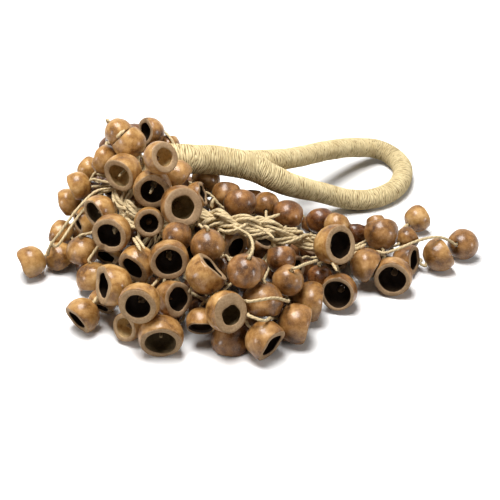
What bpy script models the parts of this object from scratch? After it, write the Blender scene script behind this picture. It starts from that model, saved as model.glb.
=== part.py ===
"""A nutshell shaker: a tassel of half nutshells on strings, and a wound hand loop.

One bundle of cords runs through the whole object. It is bent into the hand
loop, doubled back into the stem, and leaves the stem as the trunk of the
tassel, where a string splits off for each nutshell. Fine twine wound around
the bundle makes the handle. A string enters each half shell at its crown and
ends in a knot inside, so that the shell hangs from the knot.

Metres, +Z up, on the surface z = 0. The object lies as it was put down: the
tassel in a heap, the stem on top of it and the hand loop sloping down to the
right. Places are read along the viewing line, as a column, a row and a lift.
"""
import math
from collections import namedtuple

import bmesh
import bpy
import numpy as np
from mathutils import Vector

# Driving sizes, in metres
NUT_WIDTH = 0.026        # mean width of a half shell, which also sets the heap
NUT_DEPTH_SHARE = 0.42   # height of the cut above the dome's centre, per radius
SHELL_WALL = 0.0030
STRING_WIDTH = 0.0022
KNOT_WIDTH = 0.0056
STEM_WIDTH = 0.0222      # over the winding
LEG_WIDTH = 0.0162       # the hand loop's cord, over the winding
WINDING = 0.0016         # thickness of the wound twine
TRUNK_WIDTH = 0.0140
TRUNK_TIP = 0.0080
GAP = 0.0003             # between pieces that touch
CLEARANCE = 0.0006       # least distance kept between shells
HOLE_ROOM = 0.0007       # around a string, in the crown's hole
KNOT_ROOM = 0.0008       # from a knot to the wall that it is pulled against
STRING_ROOM = 0.0007     # least distance from a string to a shell
STRAIGHT_OUT = 0.0016    # from a crown to its string's first bend
BEND_RADIUS = 0.0019
BEND_STEP = math.radians(48)
SIDES = 10               # of every turned shape and thick tube
STRING_SIDES = 5
BEND_SLACK = 0.0004      # how far a string's straight runs may cut its bends
SHARP = math.radians(40) # edges sharper than this stay sharp when shaded

# Sections of a shell, as angles below its middle, and the width of its sanded cut per wall
OUTSIDE_ANGLES = (6, 44)
INSIDE_ANGLES = (48, 8)
CUT_SHARE = 1.05

# Spacing of points along the routes
BUNDLE_STEP = 0.011
LOOP_STEP = 0.012
STRING_STEP = 0.006
SPLIT_STEP = 0.004       # of the places where a string may split off the trunk
SPLIT_BACK = 3           # steps up the trunk from the place nearest to the shell

# Moving the shells apart: rounds, and shares of each round's way
APART_ROUNDS = 900
HOMING_ROUNDS = 300      # rounds with a pull back towards the place that was read
HOMING_PULL = 0.03
ACROSS_SHARE = 0.3       # of a move that may be off the viewing line
LONGEST_MOVE = 0.004

# Leading a string around the shells: the bows that are tried, rounds and shares
BOWS = (0.012, 0.026)
BOW_WAYS = 8
LEAD_ROUNDS = 160
TIGHTEN = 0.35
KEEP_TO_ROUTE = 0.2
PUSH_OUT = 0.7
LONGEST_PUSH = 0.003
LACK_ALLOWED = 0.00005

# How the heap was read: a viewing line 32 degrees down, from one metre away
READ_CENTRE = (250.0, 250.0)
READ_SCALE = 1300.0
READ_DOWN = math.radians(32)
READ_DISTANCE = 1.0

SPREAD = NUT_WIDTH / 0.026
LINE = Vector((0.0, math.cos(READ_DOWN), -math.sin(READ_DOWN)))
RIGHT = Vector((1.0, 0.0, 0.0))
UPWARD = Vector((0.0, math.sin(READ_DOWN), math.cos(READ_DOWN)))
DOWN = Vector((0.0, 0.0, -1.0))

# column and row: the shell's middle. lift: its height in millimetres, or 0
# where it lies on the surface. size: its width over the mean. turn: the way
# the open side faces, anticlockwise from the right. away: its angle from the
# eye, 0 when it looks straight back and 90 when it is seen from the side.
Spot = namedtuple("Spot", "column row lift size turn away")
NUTS = (
    Spot(120, 134, 90, 0.84, -48, 88),
    Spot(128, 141, 84, 1.00, 132, 92),
    Spot(150, 132, 80, 0.86, 183, 52),
    Spot(162, 160, 87, 0.95, 5, 40),
    Spot(123, 172, 74, 1.08, 225, 42),
    Spot(104, 159, 70, 0.86, 156, 102),
    Spot(88, 168, 56, 0.70, 150, 110),
    Spot(77, 186, 56, 0.84, 202, 90),
    Spot(68, 202, 36, 0.80, 200, 100),
    Spot(99, 211, 62, 0.92, 216, 66),
    Spot(32, 259, 0, 0.95, 205, 90),
    Spot(58, 264, 0, 0.88, -63, 117),
    Spot(82, 253, 20, 0.92, 270, 115),
    Spot(112, 233, 58, 1.08, 235, 27),
    Spot(154, 188, 68, 1.08, 265, 28),
    Spot(149, 222, 54, 0.85, 300, 12),
    Spot(181, 207, 62, 1.20, 340, 20),
    Spot(177, 175, 71, 0.86, -45, 108),
    Spot(198, 195, 60, 0.74, 15, 75),
    Spot(226, 194, 46, 0.88, 90, 120),
    Spot(240, 203, 50, 0.92, 90, 124),
    Spot(266, 205, 34, 0.80, 90, 150),
    Spot(288, 214, 34, 0.92, 80, 124),
    Spot(320, 220, 24, 0.82, 100, 120),
    Spot(337, 225, 30, 0.78, 60, 120),
    Spot(335, 245, 42, 1.18, 0, 36),
    Spot(356, 233, 22, 0.70, 90, 115),
    Spot(381, 233, 27, 1.02, 90, 118),
    Spot(418, 219, 0, 0.84, 30, 112),
    Spot(463, 245, 0, 0.89, 0, 145),
    Spot(440, 255, 0, 0.98, 30, 95),
    Spot(408, 260, 0, 0.92, -5, 62),
    Spot(393, 277, 0, 1.08, 238, 28),
    Spot(367, 265, 18, 0.97, -27, 92),
    Spot(336, 293, 0, 1.05, 225, 20),
    Spot(314, 306, 0, 1.08, -8, 96),
    Spot(296, 322, 0, 1.10, -15, 98),
    Spot(266, 338, 0, 1.08, -40, 70),
    Spot(230, 342, 0, 1.03, 270, 122),
    Spot(226, 311, 34, 1.09, -10, 34),
    Spot(202, 323, 18, 0.82, 270, 120),
    Spot(264, 302, 28, 1.08, 270, 110),
    Spot(288, 281, 38, 0.86, 251, 137),
    Spot(320, 279, 15, 0.80, 270, 110),
    Spot(245, 272, 48, 0.94, 253, 130),
    Spot(255, 272, 39, 0.80, -30, 110),
    Spot(207, 273, 48, 1.14, 45, 82),
    Spot(208, 246, 56, 0.94, 270, 118),
    Spot(169, 261, 50, 1.08, 280, 24),
    Spot(173, 297, 31, 1.03, -5, 44),
    Spot(137, 264, 42, 1.03, 225, 54),
    Spot(111, 285, 35, 1.14, 182, 70),
    Spot(94, 276, 0, 1.00, -80, 104),
    Spot(142, 304, 34, 1.06, 245, 27),
    Spot(82, 316, 0, 0.96, 220, 75),
    Spot(128, 327, 0, 0.84, 200, 35),
    Spot(160, 337, 0, 1.16, 272, 52),
    Spot(408, 238, 14, 0.70, 30, 112),
)

# Routes, each point a column, a row and a lift in millimetres
STEM_ROUTE = (
    (166, 158, 73), (190, 159, 70), (212, 160, 66), (236, 163, 61), (256, 166.5, 57), (272, 170, 52),
)
LOOP_ROUTE = (
    (222, 162, 64), (240, 165, 60), (256, 169, 55), (270, 176, 49), (285, 183, 41), (300, 187.5, 33),
    (315, 191, 25), (330, 195, 18), (345, 198.5, 12), (358, 200, 9), (372, 199, 8), (385, 195, 8),
    (396, 188, 8), (402, 178, 8), (402, 168, 8), (396, 159.5, 8.5), (386, 152.5, 10), (374, 148.5, 13),
    (360, 147.5, 18), (345, 148, 24), (330, 150, 30), (315, 153, 36), (300, 156.5, 42), (285, 159, 48),
    (270, 160, 53), (254, 160.5, 57), (238, 161, 61),
)
TRUNK_ROUTE = (
    (152, 163, 67), (138, 172, 62), (126, 188, 55), (122, 204, 50), (136, 217, 46), (160, 221, 43),
    (185, 220, 42), (205, 218, 47), (228, 223, 52), (250, 227, 51), (275, 231, 47), (300, 238, 40),
    (320, 244, 31), (338, 250, 25), (352, 253, 21),
)
# Strings whose way shows: the shell's number in NUTS, counted from 1
LOW_BRANCH = ((168, 245, 41), (172, 265, 30), (180, 283, 26), (190, 291, 26), (209, 301, 27))


def beside(points, across, down, lift):
    """The same route moved a little, for a string that runs beside another."""
    return tuple((point[0] + across, point[1] + down, point[2] + lift) for point in points)


LED = {
    11: ((106, 188, 60), (93, 192, 62), (75, 211, 52), (60, 232, 38), (50, 245, 28)),
    12: ((108, 190, 56), (96, 195, 59), (79, 214, 49), (66, 233, 38), (57, 246, 30)),
    30: ((366, 255, 20), (382, 253, 26), (400, 247, 29), (417, 240, 30), (437, 236, 30), (451, 241, 22)),
    36: (*LOW_BRANCH, (228, 304, 28), (243, 302, 40), (260, 299, 45), (276, 297, 42), (288, 301, 32)),
    37: (*beside(LOW_BRANCH, 1, 3, 1), (228, 307, 29), (241, 311, 33), (253, 316, 36), (265, 320, 33)),
    38: (*beside(LOW_BRANCH, -2, 5, -1), (226, 308, 26), (240, 312, 27), (246, 320, 24)),
    39: (*beside(LOW_BRANCH, 1, -3, -2), (220, 309, 24)),
    41: ((233, 250, 45), (232, 269, 43), (230, 283, 44), (219, 291, 41), (209, 298, 34)),
}


def read_place(column, row, lift):
    """Point at a height in millimetres, on the viewing line through a column and a row."""
    across = (column - READ_CENTRE[0]) / READ_SCALE
    up = (READ_CENTRE[1] - row) / READ_SCALE
    ray = LINE + RIGHT * across + UPWARD * up
    eye = LINE * -READ_DISTANCE
    point = eye + ray * ((lift / 1000 - eye.z) / ray.z)
    return point * SPREAD


def read_route(points):
    return [read_place(*point) for point in points]


def facing(turn, away):
    """Unit vector of an open side, from its clock angle and its angle from the eye."""
    turn, away = math.radians(turn), math.radians(away)
    flat = RIGHT * math.cos(turn) + UPWARD * math.sin(turn)
    return (flat * math.sin(away) - LINE * math.cos(away)).normalized()


def smooth_route(points, spacing):
    """Even points on one smooth curve through the given points (Catmull-Rom)."""
    points = [np.array(p, float) for p in points]
    padded = [2 * points[0] - points[1], *points, 2 * points[-1] - points[-2]]
    dense = []
    for a, b, c, d in zip(padded, padded[1:], padded[2:], padded[3:]):
        for t in np.linspace(0, 1, 12, endpoint=False):
            dense.append(0.5 * (2 * b + (c - a) * t + (2 * a - 5 * b + 4 * c - d) * t ** 2
                                + (3 * b - a - 3 * c + d) * t ** 3))
    dense.append(points[-1])
    dense = np.array(dense)
    lengths = np.concatenate([[0], np.cumsum(np.linalg.norm(np.diff(dense, axis=0), axis=1))])
    steps = max(2, round(lengths[-1] / spacing))
    wanted = np.linspace(0, lengths[-1], steps + 1)
    return np.stack([np.interp(wanted, lengths, dense[:, k]) for k in range(3)], axis=1)


def unit(vectors):
    length = np.linalg.norm(vectors, axis=-1, keepdims=True)
    return vectors / np.maximum(length, 1e-9)


def reach(direction, face, radius, cut):
    """How far cut balls reach along directions from their middles."""
    lean = np.clip((direction * face).sum(-1), -1, 1)
    over_rim = cut * lean + np.sqrt(radius ** 2 - cut ** 2) * np.sqrt(1 - lean ** 2)
    return np.where(lean * radius <= cut, radius, over_rim)


def settle(places, faces, radii, cuts, lying, balls, ball_radii):
    """Move the shells apart, mostly along the viewing line, until none meets another."""
    count = len(places)
    home = places.copy()
    line = np.array(LINE)
    first, second = np.triu_indices(count, 1)
    near_ball = np.repeat(np.arange(count), len(balls))
    ball = np.tile(np.arange(len(balls)), count) + count
    first, second = np.concatenate([first, near_ball]), np.concatenate([second, ball])
    face = np.concatenate([faces, np.zeros_like(balls)])
    radius = np.concatenate([radii, ball_radii])
    cut = np.concatenate([cuts, ball_radii])
    free = np.concatenate([np.ones(count), np.zeros(len(balls))])
    share = free[first] / (free[first] + free[second])
    rest = reach(np.array(DOWN), faces, radii, cuts)
    for step in range(APART_ROUNDS):
        spots = np.concatenate([places, balls])
        between = spots[second] - spots[first]
        best, along = np.full(len(first), -1.0), np.zeros_like(between)
        for way in (unit(between), face[first], -face[second]):
            gap = ((between * way).sum(-1) - reach(way, face[first], radius[first], cut[first])
                   - reach(-way, face[second], radius[second], cut[second]))
            gap = np.where(np.linalg.norm(way, axis=-1) > 0.5, gap, -1.0)
            better = gap > best
            best, along = np.where(better, gap, best), np.where(better[:, None], way, along)
        lack = np.clip(CLEARANCE * 1.05 - best, 0, LONGEST_MOVE)
        if step > HOMING_ROUNDS and lack.max() < CLEARANCE * 0.05:
            break
        move = ACROSS_SHARE * along + (1 - ACROSS_SHARE) * line * (along @ line)[:, None]
        move *= (lack / np.maximum((move * along).sum(-1), 0.1))[:, None]
        shift = np.zeros_like(spots)
        np.add.at(shift, first, -move * share[:, None])
        np.add.at(shift, second, move * (1 - share)[:, None])
        places = places + shift[:count]
        if step < HOMING_ROUNDS:
            strayed = places - home
            strayed -= line * (strayed @ line)[:, None]
            places = places - HOMING_PULL * strayed
        places[:, 2] = np.where(lying, rest, np.maximum(places[:, 2], rest))
    return places


def shell_room(points, places, faces, radii, cuts):
    """Distance from points to cut balls, and the way out of each."""
    apart = points[:, None, :] - places[None]
    span = np.linalg.norm(apart, axis=-1)
    out_of_dome = span - radii[None]
    out_of_cut = (apart * faces[None]).sum(-1) - cuts[None]
    by_cut = out_of_cut > out_of_dome
    way = np.where(by_cut[..., None], faces[None], apart / np.maximum(span, 1e-9)[..., None])
    return np.where(by_cut, out_of_cut, out_of_dome), way


def bend(start, out, towards):
    """Points of a tight bend from one direction to another."""
    turn = math.acos(min(1, max(-1, out @ towards)))
    side = unit(towards - out * (out @ towards))
    angles = np.linspace(0, turn, 1 + math.ceil(turn / BEND_STEP))
    return np.array([start + BEND_RADIUS * (out * math.sin(a) + side * (1 - math.cos(a))) for a in angles])


def lead_string(start, end, solids, room, via=()):
    """Way of a string from its first bend to the trunk, around every shell, by the roomiest side."""
    places, faces, radii, cuts = solids
    straight = unit(end - start)
    side = unit(np.cross(straight, np.array([0.3, 0.2, 1.0])))
    rise = np.cross(side, straight)
    tries = [np.zeros(3)]
    for size in BOWS:
        for angle in np.linspace(0, 2 * math.pi, BOW_WAYS, endpoint=False):
            tries.append(size * SPREAD * (side * math.cos(angle) + rise * math.sin(angle)))
    if via:
        tries = tries[:1]
    best, best_cost = None, 1e9
    for bow in tries:
        if best is not None and best_lack < LACK_ALLOWED:
            break
        if via:
            path = smooth_route([start, *via, end], STRING_STEP * SPREAD)
        else:
            path = smooth_route([start, (start + end) / 2 + bow, end], STRING_STEP * SPREAD)
        anchor = path.copy()
        for ease in np.linspace(1, 0, LEAD_ROUNDS):
            inner = (path[:-2] + path[2:]) / 2
            path[1:-1] += TIGHTEN * ease * (inner - path[1:-1])
            if via:
                path[1:-1] += KEEP_TO_ROUTE * ease * (anchor[1:-1] - path[1:-1])
            span, way = shell_room(path[1:-1], places, faces, radii, cuts)
            push = np.clip(room - span, 0, LONGEST_PUSH)
            path[1:-1] += (way * push[..., None]).sum(1) * PUSH_OUT
            path[:, 2] = np.maximum(path[:, 2], room)
        dense = np.concatenate([path[1:], (path[1:] + path[:-1]) / 2])
        span, _ = shell_room(dense, places, faces, radii, cuts)
        lack = np.clip(room - 0.0003 - span, 0, None).max()
        length = np.linalg.norm(np.diff(path, axis=0), axis=1).sum()
        cost = lack * 1000 + length
        if cost < best_cost:
            best, best_cost, best_lack = path, cost, lack
    return best


def sweep(points, radii, sides):
    """Vertices and faces of a closed tube through points, with a radius at each."""
    points = [Vector(p) for p in points]
    verts, faces = [], []
    tangent = (points[1] - points[0]).normalized()
    side = tangent.cross(Vector((0.13, 0.29, 1.0))).normalized()
    for k, point in enumerate(points):
        before, after = points[max(k - 1, 0)], points[min(k + 1, len(points) - 1)]
        tangent = (after - before).normalized()
        side = (side - tangent * side.dot(tangent)).normalized()
        other = tangent.cross(side)
        for s in range(sides):
            angle = 2 * math.pi * s / sides
            verts.append(point + (side * math.cos(angle) + other * math.sin(angle)) * radii[k])
    for k in range(len(points) - 1):
        for s in range(sides):
            a, b = k * sides + s, k * sides + (s + 1) % sides
            faces.append((a, b, b + sides, a + sides))
    faces.append(tuple(range(sides))[::-1])
    last = (len(points) - 1) * sides
    faces.append(tuple(range(last, last + sides)))
    return verts, faces


def shell_mesh(radius):
    """A half shell of even wall, open at the top and bored at the crown, turned about Z."""
    sides = SIDES
    cut = radius * NUT_DEPTH_SHARE
    hole = STRING_WIDTH / 2 + HOLE_ROOM
    inner = radius - SHELL_WALL
    rim = math.sqrt(radius ** 2 - cut ** 2)
    rim_inside = rim - SHELL_WALL * CUT_SHARE
    outside = [(rim, cut)]
    outside += [(radius * math.cos(a), -radius * math.sin(a)) for a in map(math.radians, OUTSIDE_ANGLES)]
    outside.append((hole, -math.sqrt(radius ** 2 - hole ** 2)))
    inside = [(hole, -math.sqrt(inner ** 2 - hole ** 2))]
    inside += [(inner * math.cos(a), -inner * math.sin(a)) for a in map(math.radians, INSIDE_ANGLES)]
    inside.append((rim_inside, cut))
    profile = outside + inside
    verts, faces = [], []
    for r, z in profile:
        for s in range(sides):
            angle = 2 * math.pi * s / sides
            verts.append((r * math.cos(angle), r * math.sin(angle), z))
    for k in range(len(profile)):
        following = (k + 1) % len(profile)
        for s in range(sides):
            t = (s + 1) % sides
            faces.append((k * sides + t, k * sides + s, following * sides + s, following * sides + t))
    return verts, faces


def make_object(name, shape, material):
    """An object from vertices and faces, with outward faces and rounded shading."""
    mesh = bpy.data.meshes.new(name)
    mesh.from_pydata([tuple(v) for v in shape[0]], [], shape[1])
    shaping = bmesh.new()
    shaping.from_mesh(mesh)
    bmesh.ops.recalc_face_normals(shaping, faces=shaping.faces)
    shaping.to_mesh(mesh)
    shaping.free()
    mesh.shade_smooth()
    mesh.set_sharp_from_angle(angle=SHARP)
    mesh.materials.append(material)
    made = bpy.data.objects.new(name, mesh)
    bpy.context.scene.collection.objects.link(made)
    return made


def make_material(name, colour, roughness):
    material = bpy.data.materials.new(name)
    material.use_nodes = True
    surface = material.node_tree.nodes["Principled BSDF"]
    surface.inputs["Base Color"].default_value = (*colour, 1.0)
    surface.inputs["Roughness"].default_value = roughness
    surface.inputs["Metallic"].default_value = 0.0
    return material


def combine(target, operation, name, cutters):
    """A Boolean of the target with guide shapes, which stay hidden."""
    group = bpy.data.collections.new(name)
    bpy.context.scene.collection.children.link(group)
    for cutter in cutters:
        bpy.context.scene.collection.objects.unlink(cutter)
        group.objects.link(cutter)
        cutter.hide_render = True
        cutter.display_type = "WIRE"
    boolean = target.modifiers.new(name, "BOOLEAN")
    boolean.operation = operation
    boolean.solver = "EXACT"
    boolean.operand_type = "COLLECTION"
    boolean.collection = group


def balls_along(route, widths, spacing):
    """Middles and radii of balls that stand for a tube."""
    lengths = np.concatenate([[0], np.cumsum(np.linalg.norm(np.diff(route, axis=0), axis=1))])
    wanted = np.arange(0, lengths[-1], spacing)
    middles = np.stack([np.interp(wanted, lengths, route[:, k]) for k in range(3)], axis=1)
    return middles, np.interp(wanted, lengths, widths)


def thin_route(path, slack):
    """The route without the points that lie nearly on a straight run."""
    kept = [0]
    last = 0
    for k in range(2, len(path)):
        run = path[k] - path[last]
        between = path[last + 1:k] - path[last]
        off = between - np.outer(between @ run / (run @ run), run)
        if np.linalg.norm(off, axis=1).max() > slack:
            last = k - 1
            kept.append(last)
    return path[[*kept, len(path) - 1]]


def lay_shells(tubes):
    """Places, faces, radii and cuts of all shells, clear of each other and of the tubes."""
    faces = np.array([facing(nut.turn, nut.away) for nut in NUTS])
    radii = np.array([nut.size * NUT_WIDTH / 2 for nut in NUTS])
    cuts = radii * NUT_DEPTH_SHARE
    lying = np.array([nut.lift == 0 for nut in NUTS])
    rest = reach(np.array(DOWN), faces, radii, cuts)
    lifts = np.where(lying, rest * 1000 / SPREAD, [nut.lift for nut in NUTS])
    places = np.array([read_place(nut.column, nut.row, lift) for nut, lift in zip(NUTS, lifts)])
    balls = np.concatenate([tube[0] for tube in tubes])
    ball_radii = np.concatenate([tube[1] for tube in tubes])
    places = settle(places, faces, radii, cuts, lying, balls, ball_radii)
    return places, faces, radii, cuts


def string_shape(place, face, radius, route):
    """A string with its knot inside the shell, out through the crown and along its route."""
    thick, knot = STRING_WIDTH / 2, KNOT_WIDTH / 2
    wall = radius - SHELL_WALL
    middle = place - face * (math.sqrt(wall ** 2 - (thick + HOLE_ROOM) ** 2) - KNOT_ROOM - knot)
    # The knot as rings: each one's place along the string and its width, per knot radius
    steps = [(0.95, 0.55), (0.5, 0.87), (0.0, 1.0), (-0.5, 0.87)]
    points = [middle + face * knot * along for along, _ in steps]
    widths = [knot * share for _, share in steps]
    points.append(middle - face * (knot * 0.95))
    widths.append(thick)
    return sweep([*points, *route], widths + [thick] * len(route), STRING_SIDES)


def main():
    for old in list(bpy.data.objects):
        bpy.data.objects.remove(old)
    shell_look = make_material("nutshell", (0.30, 0.15, 0.06), 0.32)
    cord_look = make_material("cord", (0.66, 0.55, 0.34), 0.85)
    winding_look = make_material("winding", (0.62, 0.52, 0.30), 0.80)

    stem, loop, trunk = read_route(STEM_ROUTE), read_route(LOOP_ROUTE), read_route(TRUNK_ROUTE)
    for point in loop:
        point.z = max(point.z, LEG_WIDTH / 2 + GAP / 2)
    bundle = smooth_route([*stem[::-1], *trunk], BUNDLE_STEP * SPREAD)
    mouth = int(np.argmin(np.linalg.norm(bundle - np.array(stem[0]), axis=1)))
    loop_route = smooth_route(loop, LOOP_STEP * SPREAD)
    stem_core = STEM_WIDTH / 2 - WINDING - GAP
    loop_core = LEG_WIDTH / 2 - WINDING - GAP
    along = np.arange(len(bundle))
    widths = np.interp(along, [0, mouth, mouth + 1, len(bundle) - 5, len(bundle) - 1],
                       [stem_core, stem_core, TRUNK_WIDTH / 2, TRUNK_WIDTH / 2, TRUNK_TIP / 2])
    wound = np.where(along <= mouth, widths + WINDING + GAP, widths)

    tubes = (
        balls_along(bundle, wound, 0.005 * SPREAD),
        balls_along(loop_route, np.full(len(loop_route), LEG_WIDTH / 2), 0.006 * SPREAD),
    )
    shells = lay_shells(tubes)
    places, faces, radii, cuts = shells
    handle = (
        balls_along(bundle[:mouth + 1], wound[:mouth + 1], 0.006 * SPREAD),
        balls_along(loop_route, np.full(len(loop_route), LEG_WIDTH / 2), 0.008 * SPREAD),
    )
    handle_middles, handle_radii = (np.concatenate(parts) for parts in zip(*handle))
    solids = (
        np.concatenate([places, handle_middles]),
        np.concatenate([faces, np.zeros_like(handle_middles)]),
        np.concatenate([radii, handle_radii]),
        np.concatenate([cuts, np.ones(len(handle_radii))]),
    )

    for number, (place, face, radius) in enumerate(zip(places, faces, radii), start=1):
        shell = make_object(f"nut_{number:02d}", shell_mesh(radius), shell_look)
        shell.location = place
        shell.rotation_euler = Vector(face).to_track_quat("Z", "Y").to_euler()

    trunk_route = smooth_route(trunk, SPLIT_STEP * SPREAD)
    room = STRING_WIDTH / 2 + STRING_ROOM
    strings = []
    for number, (place, face, radius) in enumerate(zip(places, faces, radii), start=1):
        start = place - face * (radius + STRAIGHT_OUT)
        via = [np.array(point) for point in read_route(LED.get(number, ())[::-1])]
        goal = via[-1] if via else start
        nearest = int(np.argmin(np.linalg.norm(trunk_route - goal, axis=1)))
        end = trunk_route[max(0, nearest - SPLIT_BACK)]
        towards = unit((via[0] if via else end) - start)
        turned = bend(start, -face, towards)
        route = thin_route(lead_string(turned[-1], end, solids, room, via), BEND_SLACK)
        route = np.concatenate([turned[:-1], route])
        shape = string_shape(place, face, radius, route)
        strings.append(make_object(f"string_{number:02d}", shape, cord_look))

    cords = make_object("cord_bundle", sweep(bundle[1:], widths[1:], SIDES), cord_look)
    loop_inside = make_object("loop_core", sweep(loop_route, [loop_core] * len(loop_route), SIDES), cord_look)
    combine(cords, "UNION", "cords_joined", [loop_inside, *strings])

    # The winding closes over the doubled end of the bundle, and is open at the tassel's mouth
    sleeve, bore = bundle[:mouth + 1], bundle[1:mouth + 2].copy()
    bore[0] += unit(bundle[0] - bundle[1]) * GAP
    leg_widths, bore_widths = [LEG_WIDTH / 2] * len(loop_route), [loop_core + GAP] * len(loop_route)
    winding = make_object("handle_winding", sweep(sleeve, [STEM_WIDTH / 2] * len(sleeve), SIDES), winding_look)
    legs = make_object("legs", sweep(loop_route, leg_widths, SIDES), winding_look)
    stem_bore = make_object("stem_bore", sweep(bore, [stem_core + GAP] * len(bore), SIDES), winding_look)
    loop_bore = make_object("loop_bore", sweep(loop_route, bore_widths, SIDES), winding_look)
    combine(winding, "UNION", "legs_joined", [legs])
    combine(winding, "DIFFERENCE", "bored", [stem_bore, loop_bore])


main()
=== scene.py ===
"""Looks of a nutshell shaker: half nutshells knotted on twisted strings, the plaited trunk
that the strings leave, and the stem and hand loop wound with fine twine."""
import math

import bpy
import numpy as np
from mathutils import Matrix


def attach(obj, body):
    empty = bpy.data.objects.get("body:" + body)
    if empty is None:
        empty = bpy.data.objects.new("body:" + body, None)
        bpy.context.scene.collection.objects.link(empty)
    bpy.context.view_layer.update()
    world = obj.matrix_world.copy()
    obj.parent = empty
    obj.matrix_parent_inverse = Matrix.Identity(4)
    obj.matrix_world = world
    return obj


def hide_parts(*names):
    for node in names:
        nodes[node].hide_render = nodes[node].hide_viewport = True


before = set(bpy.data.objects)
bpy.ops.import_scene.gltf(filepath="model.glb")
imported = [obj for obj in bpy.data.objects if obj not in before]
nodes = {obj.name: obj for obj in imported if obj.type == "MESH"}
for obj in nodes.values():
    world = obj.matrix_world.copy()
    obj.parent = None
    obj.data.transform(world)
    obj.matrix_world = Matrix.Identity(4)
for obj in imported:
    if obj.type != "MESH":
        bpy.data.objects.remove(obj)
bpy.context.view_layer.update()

# The photograph's view: 32 degrees down from one metre, 1300 picture units to the metre
VIEW_DOWN = math.radians(32)
LINE = np.array([0.0, math.cos(VIEW_DOWN), -math.sin(VIEW_DOWN)])
RIGHT = np.array([1.0, 0.0, 0.0])
UPWARD = np.array([0.0, math.sin(VIEW_DOWN), math.cos(VIEW_DOWN)])
UP = np.array([0.0, 0.0, 1.0])
PICTURE_SCALE = 1300.0
PICTURE_SIDE = 500.0
SENSOR_WIDTH = 36.0

# Shells, in metres
OWN_SHELLS = 58
NUT_WIDTH = 0.026
RIM_HEIGHT = 0.42        # of the cut above the dome's middle, per radius
WALL = 0.0030
MOUTH = 0.62             # usual width of the opening in the cut, per radius
HOLE_RADIUS = 0.0018
NOTCH_DEPTH = 0.0022
NOTCH_ANGLE = 0.20
NUT_SIDES = 60
DOME_ROWS = 22
HOLLOW_ROWS = 13
CLEAR = 0.0005           # least distance between shells, and to the surface
SLIDES = np.arange(0, 0.06, 0.001)

# Strings and cords, in metres
STRING_WIDTH = 0.0022
STRING_ROOM = 0.0006     # least distance from a string to a shell
LED_ROOM = 0.0016        # kept free around the middle of strings whose way shows
STRING_SIDES = 12
STRING_STEP = 0.0009
PLY_LENGTH = 0.0075      # of a string, for one full turn of its plies
PLIES = 2
PLY_DEPTH = 0.13         # of the grooves between plies, per radius
KNOT_WIDTH = 0.0056
KNOT_ROOM = 0.0008
KNOT_HALF = 0.0021       # half a knot's length along its string
ROUTE_STEP = 0.003
TRUNK_STEP = 0.0011
TRUNK_CORD_WIDTH = 0.0025
TRUNK_RADII = (0.0085, 0.0055)
TRUNK_TAPER = 0.05       # of its length, at its thin end
PLAIT_LENGTH = 0.062     # of the trunk, for one full turn of its plait
PLAIT_SWING = 0.0052
BUNDLE_LENGTH = 0.075    # of a bundle in the plait, for one full turn of its strands
BUNDLE_SWING = 0.0024
DECLARED_CORDS = 40
SHORTEST_CORD = 0.03

# The wound stem and hand loop, in metres
STEM_RADIUS = 0.0111
LEG_RADIUS = 0.0081
TWINE_PITCH = 0.00150    # from one wound row to the next
TWINE_HEIGHT = 0.0008
WINDING_STEP = 0.00021
WINDING_SIDES = 56
WINDING_SPLIT = 0.27     # along the handle, where its second piece begins

# Colours
WHITE = (1.0, 1.0, 1.0, 1.0)
BLACK = (0.0, 0.0, 0.0, 1.0)


def unit(vectors):
    """Vectors of length one."""
    vectors = np.asarray(vectors, float)
    return vectors / np.maximum(np.linalg.norm(vectors, axis=-1, keepdims=True), 1e-12)


def place(column, row, lift):
    """The point at a height in millimetres on the viewing line through a column and a row."""
    half = PICTURE_SIDE / 2
    ray = LINE + RIGHT * ((column - half) / PICTURE_SCALE) + UPWARD * ((half - row) / PICTURE_SCALE)
    return ray * ((lift / 1000 + LINE[2]) / ray[2]) - LINE


def place_all(points):
    """Points of a route that was read off, each a column, a row and a lift."""
    return np.array([place(*point) for point in points])


def picture(points):
    """Columns, rows and depths of points as the camera sees them."""
    from_eye = np.asarray(points) + LINE
    depth = from_eye @ LINE
    half = PICTURE_SIDE / 2
    column = half + PICTURE_SCALE * from_eye[..., 0] / depth
    row = half - PICTURE_SCALE * (from_eye @ UPWARD) / depth
    return column, row, depth


def facing(turn, away):
    """The way an open side faces, from its clock angle and its angle from the eye, in degrees."""
    turn, away = math.radians(turn), math.radians(away)
    across = RIGHT * math.cos(turn) + UPWARD * math.sin(turn)
    return unit(across * math.sin(away) - LINE * math.cos(away))


def along(path):
    """Running length at each point of a path."""
    return np.concatenate([[0], np.cumsum(np.linalg.norm(np.diff(path, axis=0), axis=1))])


def even(path, spacing):
    """The same path with even points."""
    run = along(path)
    wanted = np.linspace(0, run[-1], max(3, round(run[-1] / spacing) + 1))
    return np.stack([np.interp(wanted, run, path[:, k]) for k in range(3)], axis=1)


def smooth(points, spacing):
    """Even points on the curve through points, each span a cubic whose slope at a point is half
    the step between its neighbours."""
    p = np.asarray(points, float)
    p = np.concatenate([[2 * p[0] - p[1]], p, [2 * p[-1] - p[-2]]])
    a, b, c, d = (p[k:len(p) - 3 + k, None, :] for k in range(4))
    t = np.linspace(0, 1, 16, endpoint=False)[None, :, None]
    curve = 0.5 * (2 * b + (c - a) * t + (2 * a - 5 * b + 4 * c - d) * t ** 2
                   + (3 * b - a - 3 * c + d) * t ** 3)
    return even(np.concatenate([curve.reshape(-1, 3), p[-2:-1]]), spacing)


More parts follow.
